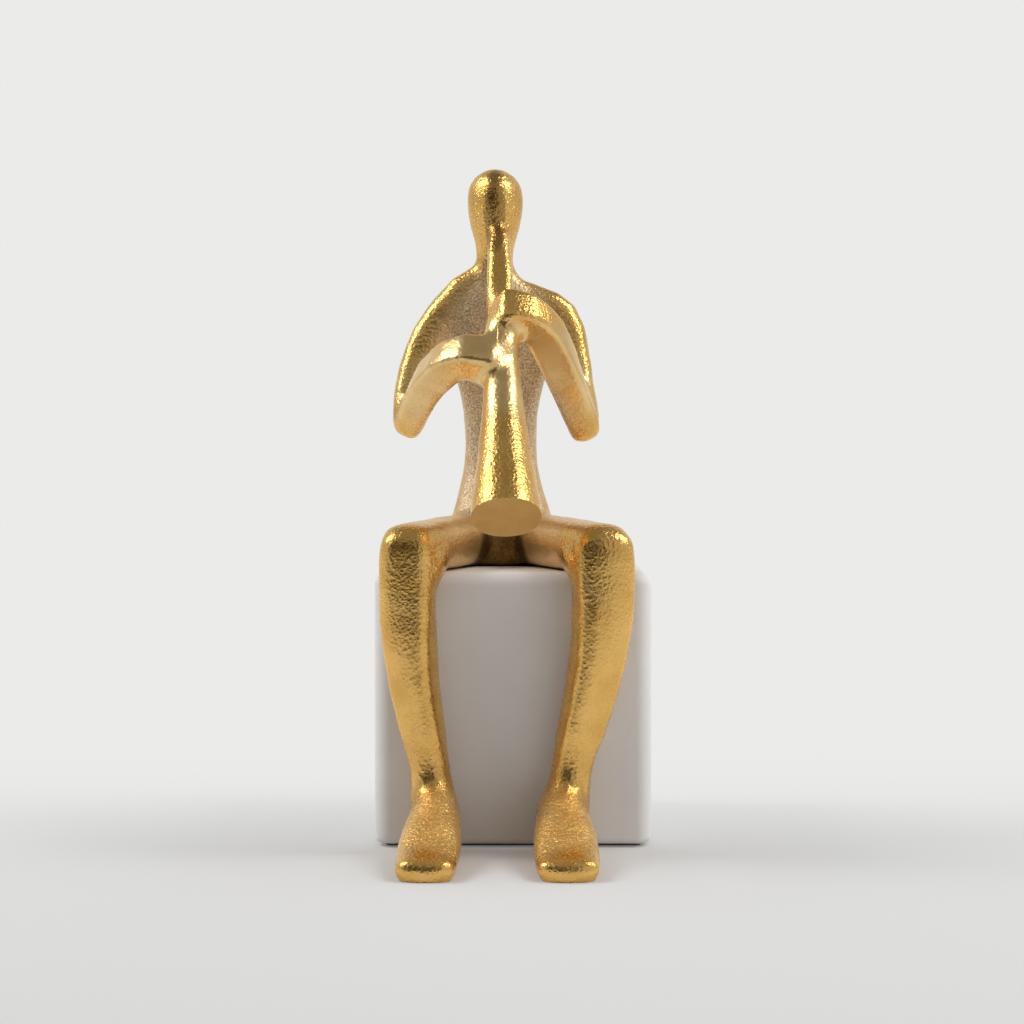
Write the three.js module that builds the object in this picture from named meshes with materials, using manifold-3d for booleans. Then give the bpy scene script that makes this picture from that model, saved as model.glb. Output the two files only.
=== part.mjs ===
// Seated musician: a gold figure, cast in seven pieces, plays a straight horn on a white block.
// Millimetres, +Z up. The figure faces -Y. The origin is the middle of the felt base, on the table.

import * as THREE from 'three';
import { mergeVertices } from 'three/addons/utils/BufferGeometryUtils.js';
import Module from 'manifold-3d';

const wasm = await Module();
wasm.setup();

// Block and felt
const BLOCK_WIDTH = 103;
const BLOCK_DEPTH = 103;
const BLOCK_HEIGHT = 101;
const BLOCK_CORNER_RADIUS = 6;
const BLOCK_TOP_RADIUS = 5;
const BLOCK_FOOT_RADIUS = 2.5;
const FELT_THICKNESS = 1;
const FELT_INSET = 4;

// Tie rod that pulls the figure down on the block
const ROD_DIAMETER = 6;
const ROD_REACH = 22;
const ROD_TAIL = 2;
const ROD_SETBACK = 2;
const NUT_ACROSS_FLATS = 10;
const NUT_HEIGHT = 5;
const WASHER_DIAMETER = 18;
const WASHER_THICKNESS = 1.6;
const COUNTERBORE_DIAMETER = 22;
const COUNTERBORE_DEPTH = 12;

// Fits
const JOINT_GAP = 0.3;
const DOWEL_CLEARANCE = 0.3;
const ROD_CLEARANCE = 0.3;

// Dowels inside the figure: diameter, and length to each side of the joint
const NECK_DOWEL = { diameter: 4, before: 10, after: 10 };
const SHOULDER_DOWEL = { diameter: 3.5, before: 8, after: 8 };
const HIP_DOWEL = { diameter: 5, before: 10, after: 13 };
const HAND_DOWEL = { diameter: 3, before: 6, after: 3.5 };
const MOUTH_DOWEL = { diameter: 3.5, before: 8, after: 9 };

// Where the figure sits: its midline to one side, its hips behind the front of the block
const MIDLINE_OFFSET = -4.5;
const HIP_SETBACK = 59.5;

// Sections of the trunk, from the seat to the neck joint
const TRUNK = [
  { x: 0, y: -1, z: 0, width: 40, depth: 39, square: 2.8 },
  { x: 0, y: -1, z: 10, width: 42, depth: 40, square: 2.7 },
  { x: 0, y: 1.5, z: 20, width: 38.5, depth: 33, square: 2.5 },
  { x: -0.2, y: 4, z: 29, width: 33.5, depth: 25.5, square: 2.4 },
  { x: -0.3, y: 5.5, z: 39, width: 29.2, depth: 21, square: 2.4 },
  { x: -0.3, y: 5.5, z: 52, width: 28.4, depth: 20, square: 2.4 },
  { x: -0.3, y: 4.5, z: 66, width: 31.5, depth: 20, square: 2.4 },
  { x: -0.5, y: 3, z: 80, width: 40, depth: 19, square: 2.7 },
  { x: -1, y: 1.5, z: 90, width: 48, depth: 18.5, square: 3 },
  { x: -1.6, y: 0.8, z: 97.5, width: 48, depth: 18, square: 3.2 },
  { x: -2.2, y: 0.3, z: 104, width: 39, depth: 17, square: 3 },
  { x: -2.7, y: 0, z: 110, width: 25, depth: 15.5, square: 2.6 },
  { x: -2.8, y: -0.5, z: 114.6, width: 17.5, depth: 14.2, square: 2.4 },
  { x: -2.7, y: -1, z: 119, width: 14.6, depth: 13.5, square: 2.3 },
];

// Sections of the head, above the neck joint, and the length of its domed top
const HEAD = [
  { x: -2.6, y: -1.8, z: 125, width: 15.2, depth: 15.5, square: 2.2 },
  { x: -2.5, y: -3.2, z: 132, width: 19.4, depth: 21.5, square: 1.75 },
  { x: -2.5, y: -3.5, z: 139, width: 21.7, depth: 24.5, square: 1.65 },
  { x: -2.5, y: -3.5, z: 144, width: 22, depth: 25, square: 1.65 },
];
const HEAD_DOME = 11;

// Sections of the arms: over the shoulder to the elbow, then from the elbow to the horn
const RIGHT_ARM = {
  upper: [
    { x: 3, y: 0.5, z: 106, width: 12, depth: 12, square: 2.6 },
    { x: -9, y: 0.5, z: 108.3, width: 18.4, depth: 13.5, square: 2.6 },
    { x: -17, y: 0, z: 102, width: 17, depth: 14.5, square: 2.6 },
    { x: -24, y: -1, z: 95, width: 16, depth: 14.5, square: 2.6 },
    { x: -31.8, y: -4.5, z: 82, width: 13.5, depth: 13.5, square: 2.7 },
    { x: -35.6, y: -10, z: 67, width: 12.5, depth: 13, square: 2.8 },
    { x: -36.2, y: -14, z: 56, width: 12, depth: 12, square: 2.8 },
  ],
  fore: [
    { x: -35.8, y: -14, z: 55, width: 11.2, depth: 11, square: 3.2 },
    { x: -29.8, y: -30, z: 67, width: 12.4, depth: 11.5, square: 6, roll: 12 },
    { x: -21.5, y: -45, z: 76.5, width: 13.5, depth: 12.5, square: 7, roll: 33 },
    { x: -13, y: -51, z: 79.8, width: 13.6, depth: 14, square: 7, roll: 45 },
    { x: -3.2, y: -50.5, z: 77.9, width: 17, depth: 16, square: 5, roll: 50 },
  ],
  grip: 0.475,
};
const LEFT_ARM = {
  upper: [
    { x: -8, y: 0.5, z: 104, width: 12, depth: 12, square: 2.6 },
    { x: 5, y: 0.5, z: 104, width: 16, depth: 13.5, square: 2.6 },
    { x: 14, y: 0, z: 101.4, width: 16, depth: 14.5, square: 2.6 },
    { x: 22.4, y: -1, z: 96.2, width: 17, depth: 14.5, square: 2.6 },
    { x: 27.8, y: -4.5, z: 84, width: 13, depth: 13.5, square: 2.7 },
    { x: 30, y: -10, z: 70, width: 12, depth: 13, square: 2.8 },
    { x: 32.2, y: -14, z: 57, width: 12, depth: 12, square: 2.8 },
  ],
  fore: [
    { x: 32.2, y: -14, z: 53.5, width: 12.2, depth: 11, square: 3.2 },
    { x: 25.2, y: -24.5, z: 71, width: 13.8, depth: 11.5, square: 6, roll: -12 },
    { x: 17, y: -35.4, z: 88.6, width: 14.4, depth: 12, square: 7, roll: -30 },
    { x: 9.5, y: -42, z: 95.9, width: 13.5, depth: 13.5, square: 7, roll: -46 },
    { x: 0.6, y: -43.6, z: 97.6, width: 11.5, depth: 16, square: 6, roll: -56 },
  ],
  grip: 0.32,
};
const SHOULDER_SPAN = 3;
const ELBOW_DOME = 5;
const FINGER_DOME = 3;

// Horn: its ends, its diameters, and how its flare grows along it
const MOUTH = { x: -1, y: -14, z: 127.5 };
const BELL = { x: 2, y: -88, z: 21.5 };
const HORN_TUBE_DIAMETER = 10.2;
const HORN_BELL_DIAMETER = 26.4;
const HORN_FLARE = [
  { share: 0, flare: -0.1, square: 2.4 },
  { share: 0.16, flare: 0, square: 3.4 },
  { share: 0.32, flare: 0.04, square: 3.2 },
  { share: 0.5, flare: 0.17, square: 2.4 },
  { share: 0.66, flare: 0.37, square: 2.1 },
  { share: 0.82, flare: 0.64, square: 2.1 },
  { share: 0.93, flare: 0.86, square: 2.1 },
  { share: 1, flare: 1, square: 2.1 },
];
const ROUND_SECTION = 2.1;
const MOUTHPIECE_DOME = 4;

// Legs: shins by the share of the drop from knee to table, feet by shares of their length and width
const THIGH_RISE = 9.4;
const HIP = { spread: 10.5, y: -3, rise: 0.8 };
const THIGH = [
  { share: 0, width: 22, depth: 20, square: 2.6 },
  { share: 0.28, width: 24, depth: 20, square: 2.6 },
  { share: 0.65, width: 22.5, depth: 19, square: 2.6 },
  { share: 1, width: 20.8, depth: 18.4, square: 2.6 },
];
const HIP_SPAN = 1;
const KNEE_DOME = 8.5;
const INNER_KNEE = { width: 17, inset: 5.6, back: 1.2, drop: 6.2 };
const SHIN_GAP = 0.8;
const SHIN_DEPTH = 18.6;
const RIGHT_LEG = {
  side: -1,
  shin: [
    { drop: 0, x: 33.9, width: 20.8, depth: 18.2, square: 3, roll: 2 },
    { drop: 0.155, x: 34, width: 20.6, depth: 18.2, square: 3, roll: 8 },
    { drop: 0.3, x: 33.3, width: 19.2, depth: 17.6, square: 3, roll: 18 },
    { drop: 0.45, x: 31.4, width: 17.4, depth: 16.6, square: 3, roll: 24 },
    { drop: 0.6, x: 28.4, width: 15.8, depth: 15, square: 3, roll: 20 },
    { drop: 0.69, x: 26.6, width: 15.2, depth: 14.5, square: 2.6, roll: 12 },
    { drop: 0.77, x: 25.2, width: 16, depth: 15.5, square: 2.2 },
    { drop: 0.86, x: 24.7, width: 18, depth: 16.5, square: 2.2 },
  ],
  heelX: 23.4,
  toeX: 26.1,
  footWidth: 21.4,
};
const LEFT_LEG = {
  side: 1,
  shin: [
    { drop: 0, x: 37.4, width: 22.8, depth: 18.2, square: 2.8, roll: -6 },
    { drop: 0.155, x: 37.4, width: 23, depth: 18.2, square: 3, roll: -12 },
    { drop: 0.3, x: 36.3, width: 20.8, depth: 17.6, square: 3, roll: -20 },
    { drop: 0.45, x: 33.3, width: 19, depth: 16.6, square: 3, roll: -24 },
    { drop: 0.6, x: 29.2, width: 16.6, depth: 15, square: 3, roll: -20 },
    { drop: 0.69, x: 26.6, width: 15.2, depth: 14.5, square: 2.6, roll: -12 },
    { drop: 0.77, x: 25, width: 16, depth: 15.5, square: 2.2 },
    { drop: 0.86, x: 24, width: 18, depth: 16.5, square: 2.2 },
  ],
  heelX: 22.2,
  toeX: 23.7,
  footWidth: 22.2,
};
const FOOT_LENGTH = 65;
const FOOT = [
  { share: 0.08, spread: 0.84, height: 22, square: 2.2 },
  { share: 0.24, spread: 0.88, height: 29, square: 2.1 },
  { share: 0.36, spread: 0.96, height: 24, square: 2.1 },
  { share: 0.5, spread: 1.02, height: 19, square: 2.2 },
  { share: 0.68, spread: 1.04, height: 13.2, square: 2.4 },
  { share: 0.84, spread: 1.02, height: 9.4, square: 2.6 },
  { share: 0.93, spread: 0.96, height: 7.8, square: 2.8 },
];
const SOLE_TRIM = 1;
const HEEL_DOME = 4;
const TOE_DOME = 4.5;

// Facets
const LIMB_SIDES = 20;
const RINGS_PER_SPAN = 2;
const DOME_RINGS = 4;
const ROUND_SIDES = 24;
const CORNER_FACETS = 5;

const UP = new THREE.Vector3(0, 0, 1);
const BACK = new THREE.Vector3(0, 1, 0);
const ACROSS = new THREE.Vector3(1, 0, 0);
const SEAT_HEIGHT = FELT_THICKNESS + BLOCK_HEIGHT;
const BLOCK_FRONT = -HIP_SETBACK;
const FLOOR = -SEAT_HEIGHT;

const at = (x, y, z) => new THREE.Vector3(x, y, z);
const placed = ({ x, y, z, ...section }) => ({ place: at(x, y, z), ...section });

// A limb: a rounded section swept along a smooth path through its stations.
// The depth of a section lies along the thick axis, and its width across it, unless a roll turns it.
class Sweep {
  constructor(stations, thickAxis) {
    this.spans = stations.length - 1;
    this.thickAxis = thickAxis;
    this.path = new THREE.CatmullRomCurve3(stations.map((s) => s.place));
    const shapes = stations.map((s) => at(s.width, s.depth, s.square));
    this.shape = new THREE.CatmullRomCurve3(shapes, false, 'catmullrom', 0.5);
    const rolls = stations.map(({ roll = 0 }) => at(roll, 0, 0));
    this.roll = new THREE.CatmullRomCurve3(rolls, false, 'catmullrom', 0.5);
  }

  place(span) {
    return this.path.getPoint(span / this.spans);
  }

  direction(span) {
    return this.path.getTangent(span / this.spans);
  }

  // The ring of points at one place along the sweep, moved along it and scaled for a domed end.
  ring(span, grow, shift = 0, scale = 1) {
    const along = this.direction(span);
    const roll = THREE.MathUtils.degToRad(this.roll.getPoint(span / this.spans).x);
    const side = new THREE.Vector3().crossVectors(this.thickAxis, along).normalize();
    side.applyAxisAngle(along, roll);
    const thick = new THREE.Vector3().crossVectors(along, side);
    const middle = this.place(span).addScaledVector(along, shift);
    const shape = this.shape.getPoint(span / this.spans);
    const halfWidth = (shape.x / 2 + grow) * scale;
    const halfDepth = (shape.y / 2 + grow) * scale;
    const power = 2 / shape.z;
    const points = [];
    for (let i = 0; i < LIMB_SIDES; i++) {
      const angle = (2 * Math.PI * i) / LIMB_SIDES;
      const across = Math.sign(Math.cos(angle)) * Math.abs(Math.cos(angle)) ** power;
      const deep = Math.sign(Math.sin(angle)) * Math.abs(Math.sin(angle)) ** power;
      const point = middle.clone();
      point.addScaledVector(side, halfWidth * across);
      point.addScaledVector(thick, halfDepth * deep);
      points.push(point);
    }
    return points;
  }

  // The closed solid between two places, each end flat or domed by a length.
  solid({ from = 0, to = this.spans, startDome = 0, endDome = 0, grow = 0 } = {}) {
    const rings = [];
    const dome = (span, length, sign, k) => {
      const angle = (Math.PI / 2) * (k / DOME_RINGS);
      rings.push(this.ring(span, grow, sign * (length + grow) * Math.sin(angle), Math.cos(angle)));
    };
    if (startDome) {
      for (let k = DOME_RINGS - 1; k > 0; k--) dome(from, startDome, -1, k);
    }
    const count = Math.max(1, Math.round((to - from) * RINGS_PER_SPAN));
    for (let i = 0; i <= count; i++) {
      rings.push(this.ring(from + ((to - from) * i) / count, grow));
    }
    if (endDome) {
      for (let k = 1; k < DOME_RINGS; k++) dome(to, endDome, 1, k);
    }
    const startShift = startDome ? startDome + grow : 0;
    const endShift = endDome ? endDome + grow : 0;
    const first = this.place(from).addScaledVector(this.direction(from), -startShift);
    const last = this.place(to).addScaledVector(this.direction(to), endShift);
    return solidOfRings(rings, first, last);
  }

  // The place that lies the joint gap past another.
  pastJoint(span) {
    const start = this.place(span);
    const step = JOINT_GAP / this.path.getLength();
    let next = span;
    while (this.place(next).distanceTo(start) < JOINT_GAP) next += step;
    return next;
  }
}

// Rings joined by side faces, with a fan of faces round each end point.
function solidOfRings(rings, first, last) {
  const sides = rings[0].length;
  const points = [first, ...rings.flat(), last];
  const faces = [];
  const index = (ring, i) => 1 + ring * sides + (i % sides);
  const end = points.length - 1;
  for (let i = 0; i < sides; i++) {
    faces.push(0, index(0, i + 1), index(0, i));
    for (let r = 0; r + 1 < rings.length; r++) {
      faces.push(index(r, i), index(r, i + 1), index(r + 1, i));
      faces.push(index(r, i + 1), index(r + 1, i + 1), index(r + 1, i));
    }
    faces.push(end, index(rings.length - 1, i), index(rings.length - 1, i + 1));
  }
  const positions = new Float32Array(points.flatMap((p) => [p.x, p.y, p.z]));
  return new wasm.Manifold(
    new wasm.Mesh({ numProp: 3, vertProperties: positions, triVerts: new Uint32Array(faces) }),
  );
}

// A geometry as a solid that can be joined and cut.
function solidOf(geometry) {
  const bare = geometry.clone();
  bare.deleteAttribute('normal');
  bare.deleteAttribute('uv');
  const merged = mergeVertices(bare);
  return new wasm.Manifold(
    new wasm.Mesh({
      numProp: 3,
      vertProperties: merged.attributes.position.array,
      triVerts: new Uint32Array(merged.index.array),
    }),
  );
}

function geometryOf(solid) {
  const { vertProperties, triVerts } = solid.getMesh();
  const geometry = new THREE.BufferGeometry();
  geometry.setAttribute('position', new THREE.BufferAttribute(vertProperties, 3));
  geometry.setIndex(new THREE.BufferAttribute(triVerts, 1));
  geometry.computeVertexNormals();
  return geometry;
}

const join = (...solids) => solids.reduce((a, b) => a.add(b));
const cut = (solid, ...tools) => tools.reduce((a, b) => a.subtract(b), solid);

// A round bar from one point to another.
function bar(start, end, diameter) {
  const length = start.distanceTo(end);
  const geometry = new THREE.CylinderGeometry(diameter / 2, diameter / 2, length, ROUND_SIDES);
  const turn = new THREE.Quaternion().setFromUnitVectors(BACK, end.clone().sub(start).normalize());
  geometry.applyQuaternion(turn);
  const middle = start.clone().add(end).divideScalar(2);
  return geometry.translate(middle.x, middle.y, middle.z);
}

// A dowel across a joint: its ends, the hole that takes it, and its own mesh.
class Dowel {
  constructor(name, middle, direction, { diameter, before, after }) {
    this.name = name;
    this.diameter = diameter;
    this.along = direction.clone().normalize();
    this.start = middle.clone().addScaledVector(this.along, -before);
    this.end = middle.clone().addScaledVector(this.along, after);
  }

  hole() {
    const start = this.start.clone().addScaledVector(this.along, -DOWEL_CLEARANCE);
    const end = this.end.clone().addScaledVector(this.along, DOWEL_CLEARANCE);
    return solidOf(bar(start, end, this.diameter + 2 * DOWEL_CLEARANCE));
  }

  mesh(material) {
    const length = this.start.distanceTo(this.end);
    const radius = this.diameter / 2;
    const mesh = new THREE.Mesh(new THREE.CylinderGeometry(radius, radius, length, ROUND_SIDES), material);
    mesh.name = this.name;
    mesh.position.copy(this.start).add(this.end).divideScalar(2);
    mesh.quaternion.setFromUnitVectors(BACK, this.along);
    return mesh;
  }
}

// Materials
const goldFinish = { color: 0xc9a052, roughness: 0.38, metalness: 1 };
const steelFinish = { color: 0x9a9c9e, roughness: 0.4, metalness: 1 };
const whiteFinish = { color: 0xe6e2dc, roughness: 0.75, metalness: 0 };
const feltFinish = { color: 0x55504a, roughness: 1, metalness: 0 };
const material = (finish) => new THREE.MeshStandardMaterial(finish);

function piece(name, solid, finish) {
  const mesh = new THREE.Mesh(geometryOf(solid), material(finish));
  mesh.name = name;
  return mesh;
}

// Spine: trunk and head in one sweep, parted at the neck
const spine = new Sweep([...TRUNK, ...HEAD].map(placed), BACK);
const NECK_SPAN = TRUNK.length - 1;
const trunkSolid = (grow = 0) => spine.solid({ to: NECK_SPAN, grow });
const headSolid = (grow = 0) =>
  spine.solid({ from: spine.pastJoint(NECK_SPAN), endDome: HEAD_DOME, grow });

// Horn: a straight tube that opens into a solid, flat-ended bell
const mouth = at(MOUTH.x, MOUTH.y, MOUTH.z);
const bell = at(BELL.x, BELL.y, BELL.z);
const hornPlace = (share) => mouth.clone().lerp(bell, share);
const horn = new Sweep(
  HORN_FLARE.map(({ share, flare, square }) => {
    const diameter = THREE.MathUtils.lerp(HORN_TUBE_DIAMETER, HORN_BELL_DIAMETER, flare);
    return { place: hornPlace(share), width: diameter, depth: diameter, square };
  }),
  BACK,
);
const hornSolid = (grow = 0) => horn.solid({ startDome: MOUTHPIECE_DOME, grow });

// Arms: each grows out of the shoulder, bends at the elbow and hooks round to the horn
function makeArm(name, { upper, fore, grip }) {
  const upperSweep = new Sweep(upper.map(placed), BACK);
  const foreSweep = new Sweep(fore.map(placed), BACK);
  const shoulderPlace = upperSweep.place(SHOULDER_SPAN);
  const shoulderDirection = upperSweep.direction(SHOULDER_SPAN);
  const wrist = foreSweep.place(foreSweep.spans - 1);
  const inward = hornPlace(grip).sub(wrist).normalize();
  const hornSide = hornPlace(grip).addScaledVector(inward, -HORN_TUBE_DIAMETER / 2);
  return {
    name,
    upperSweep,
    foreSweep,
    shoulderDowel: new Dowel(`${name}_shoulder_dowel`, shoulderPlace, shoulderDirection, SHOULDER_DOWEL),
    handDowel: new Dowel(`${name}_hand_dowel`, hornSide, inward, HAND_DOWEL),
  };
}
const arms = [makeArm('right', RIGHT_ARM), makeArm('left', LEFT_ARM)];

// Legs: thigh over the block, shin down its front, foot flat on the table
const shinMiddle = BLOCK_FRONT - SHIN_GAP - SHIN_DEPTH / 2;
function makeLeg(name, { side, shin, heelX, toeX, footWidth }) {
  const knee = at(side * shin[0].x, shinMiddle, THIGH_RISE);
  const hip = at(side * HIP.spread, HIP.y, THIGH_RISE + HIP.rise);
  const shinStations = shin.map(({ drop, x, ...section }) => ({
    place: at(side * x, shinMiddle, THREE.MathUtils.lerp(THIGH_RISE, FLOOR, drop)),
    ...section,
  }));
  const thighStations = THIGH.map(({ share, ...section }) => ({
    place: hip.clone().lerp(knee, share),
    ...section,
  }));
  const footStations = FOOT.map(({ share, spread, height, square }) => {
    const width = spread * footWidth;
    const depth = height + SOLE_TRIM;
    const x = side * THREE.MathUtils.lerp(heelX, toeX, share);
    const y = BLOCK_FRONT - SHIN_GAP - share * FOOT_LENGTH;
    return { place: at(x, y, FLOOR - SOLE_TRIM + depth / 2), width, depth, square };
  });
  const inner = knee.clone().add(at(-side * INNER_KNEE.inset, INNER_KNEE.back, -INNER_KNEE.drop));
  const innerSection = { width: INNER_KNEE.width, depth: INNER_KNEE.width, square: ROUND_SECTION };
  const thighSweep = new Sweep(thighStations, UP);
  const hipPlace = thighSweep.place(HIP_SPAN);
  const hipDirection = thighSweep.direction(HIP_SPAN);
  return {
    name,
    thighSweep,
    shinSweep: new Sweep(shinStations, BACK),
    footSweep: new Sweep(footStations, UP),
    innerSweep: new Sweep(
      [
        { place: thighStations[2].place, ...innerSection },
        { place: inner, ...innerSection },
        { place: shinStations[1].place, ...innerSection },
      ],
      ACROSS,
    ),
    hipDowel: new Dowel(`${name}_hip_dowel`, hipPlace, hipDirection, HIP_DOWEL),
  };
}
const legs = [makeLeg('right', RIGHT_LEG), makeLeg('left', LEFT_LEG)];

// Dowels on the midline
const neckDowel = new Dowel('neck_dowel', spine.place(NECK_SPAN), spine.direction(NECK_SPAN), NECK_DOWEL);
const mouthDowel = new Dowel('mouth_dowel', mouth, bell.clone().sub(mouth), MOUTH_DOWEL);

// The space taken by the block, by the tie rod in the torso and by the table under the feet
const seatSpace = solidOf(
  new THREE.BoxGeometry(BLOCK_WIDTH, BLOCK_DEPTH + 2 * JOINT_GAP, BLOCK_HEIGHT).translate(
    -MIDLINE_OFFSET,
    BLOCK_DEPTH / 2 - HIP_SETBACK,
    JOINT_GAP - BLOCK_HEIGHT / 2,
  ),
);
const ROD_HOLE_DIAMETER = ROD_DIAMETER + 2 * ROD_CLEARANCE;
const rodPlace = (z) => at(0, ROD_SETBACK, z);
const rodHole = solidOf(bar(rodPlace(FLOOR), rodPlace(ROD_REACH + ROD_CLEARANCE), ROD_HOLE_DIAMETER));
const tableSpace = solidOf(
  new THREE.BoxGeometry(BLOCK_WIDTH, 2 * FOOT_LENGTH, FOOT_LENGTH).translate(
    0,
    BLOCK_FRONT - FOOT_LENGTH / 2,
    FLOOR - FOOT_LENGTH / 2,
  ),
);

// Torso casting: trunk, both shoulders and both hip stubs
const torso = cut(
  join(
    trunkSolid(),
    ...arms.map((arm) => arm.upperSweep.solid({ to: SHOULDER_SPAN })),
    ...legs.map((leg) => leg.thighSweep.solid({ to: HIP_SPAN })),
  ),
  seatSpace,
  rodHole,
  neckDowel.hole(),
  ...arms.map((arm) => arm.shoulderDowel.hole()),
  ...legs.map((leg) => leg.hipDowel.hole()),
);

const headCasting = cut(headSolid(), neckDowel.hole(), mouthDowel.hole());

const hornCasting = cut(
  hornSolid(),
  headSolid(JOINT_GAP),
  mouthDowel.hole(),
  ...arms.map((arm) => arm.handDowel.hole()),
);

function armCasting({ upperSweep, foreSweep, shoulderDowel, handDowel }) {
  const whole = join(
    upperSweep.solid({ from: upperSweep.pastJoint(SHOULDER_SPAN), endDome: ELBOW_DOME }),
    foreSweep.solid({ startDome: ELBOW_DOME, endDome: FINGER_DOME }),
  );
  return cut(whole, trunkSolid(JOINT_GAP), hornSolid(JOINT_GAP), shoulderDowel.hole(), handDowel.hole());
}

function legCasting({ thighSweep, innerSweep, shinSweep, footSweep, hipDowel }) {
  const whole = join(
    thighSweep.solid({ from: thighSweep.pastJoint(HIP_SPAN), endDome: KNEE_DOME }),
    innerSweep.solid(),
    shinSweep.solid({ startDome: KNEE_DOME }),
    footSweep.solid({ startDome: HEEL_DOME, endDome: TOE_DOME }),
  );
  return cut(whole, seatSpace, tableSpace, trunkSolid(JOINT_GAP), hipDowel.hole());
}

// Figure
const figure = new THREE.Group();
figure.position.set(MIDLINE_OFFSET, HIP_SETBACK - BLOCK_DEPTH / 2, SEAT_HEIGHT);
figure.add(piece('torso', torso, goldFinish));
figure.add(piece('head', headCasting, goldFinish));
figure.add(piece('horn', hornCasting, goldFinish));
figure.add(neckDowel.mesh(material(steelFinish)), mouthDowel.mesh(material(steelFinish)));
for (const arm of arms) {
  figure.add(piece(`${arm.name}_arm`, armCasting(arm), goldFinish));
  figure.add(arm.shoulderDowel.mesh(material(steelFinish)), arm.handDowel.mesh(material(steelFinish)));
}
for (const leg of legs) {
  figure.add(piece(`${leg.name}_leg`, legCasting(leg), goldFinish));
  figure.add(leg.hipDowel.mesh(material(steelFinish)));
}

// A square ring with round corners, set in from the sides of the block.
function blockRing(inset, z) {
  const radius = BLOCK_CORNER_RADIUS - inset;
  const points = [];
  for (let corner = 0; corner < 4; corner++) {
    const signX = corner === 0 || corner === 3 ? 1 : -1;
    const signY = corner < 2 ? 1 : -1;
    for (let i = 0; i <= CORNER_FACETS; i++) {
      const angle = (Math.PI / 2) * (corner + i / CORNER_FACETS);
      const x = signX * (BLOCK_WIDTH / 2 - BLOCK_CORNER_RADIUS) + radius * Math.cos(angle);
      const y = signY * (BLOCK_DEPTH / 2 - BLOCK_CORNER_RADIUS) + radius * Math.sin(angle);
      points.push(at(x, y, z));
    }
  }
  return points;
}

// Block: all edges round, drilled for the tie rod and counterbored for its nut
const blockRings = [];
for (let i = 0; i <= CORNER_FACETS; i++) {
  const angle = (Math.PI / 2) * (i / CORNER_FACETS);
  const inset = BLOCK_FOOT_RADIUS * (1 - Math.sin(angle));
  blockRings.push(blockRing(inset, FELT_THICKNESS + BLOCK_FOOT_RADIUS * (1 - Math.cos(angle))));
}
for (let i = 0; i <= CORNER_FACETS; i++) {
  const angle = (Math.PI / 2) * (i / CORNER_FACETS);
  const inset = BLOCK_TOP_RADIUS * (1 - Math.cos(angle));
  blockRings.push(blockRing(inset, SEAT_HEIGHT - BLOCK_TOP_RADIUS * (1 - Math.sin(angle))));
}
const blockBody = solidOfRings(blockRings, at(0, 0, FELT_THICKNESS), at(0, 0, SEAT_HEIGHT));
const rodAxis = (z) => at(figure.position.x, figure.position.y + ROD_SETBACK, z);
const counterboreTop = FELT_THICKNESS + COUNTERBORE_DEPTH;
const rodBore = solidOf(bar(rodAxis(0), rodAxis(2 * SEAT_HEIGHT), ROD_HOLE_DIAMETER));
const counterbore = solidOf(bar(rodAxis(0), rodAxis(counterboreTop), COUNTERBORE_DIAMETER));

const base = new THREE.Group();
base.add(piece('seat_block', cut(blockBody, rodBore, counterbore), whiteFinish));

// Felt sheet under the block
const feltOutline = new THREE.Shape(blockRing(FELT_INSET, 0).map((p) => new THREE.Vector2(p.x, p.y)));
const feltSheet = new THREE.Mesh(
  new THREE.ExtrudeGeometry(feltOutline, { depth: FELT_THICKNESS, bevelEnabled: false }),
  material(feltFinish),
);
feltSheet.name = 'base_felt';
base.add(feltSheet);

// Rod, washer and nut
const washerTop = counterboreTop - JOINT_GAP;
const washerBottom = washerTop - WASHER_THICKNESS;
const nutTop = washerBottom - JOINT_GAP;
const nutBottom = nutTop - NUT_HEIGHT;
const rod = solidOf(bar(rodAxis(nutBottom - ROD_TAIL), rodAxis(SEAT_HEIGHT + ROD_REACH), ROD_DIAMETER));
const washer = solidOf(bar(rodAxis(washerBottom), rodAxis(washerTop), WASHER_DIAMETER));
const nutRadius = NUT_ACROSS_FLATS / 2 / Math.cos(Math.PI / 6);
const nutPrism = new THREE.CylinderGeometry(nutRadius, nutRadius, NUT_HEIGHT, 6).rotateX(Math.PI / 2);
const nutMiddle = rodAxis((nutTop + nutBottom) / 2);
nutPrism.translate(nutMiddle.x, nutMiddle.y, nutMiddle.z);
base.add(piece('tie_rod', rod, steelFinish));
base.add(piece('tie_rod_washer', cut(washer, rodBore), steelFinish));
base.add(piece('tie_rod_nut', cut(solidOf(nutPrism), rodBore), steelFinish));

const musician = new THREE.Group();
musician.add(base, figure);

export default musician;
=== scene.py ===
import math

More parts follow.
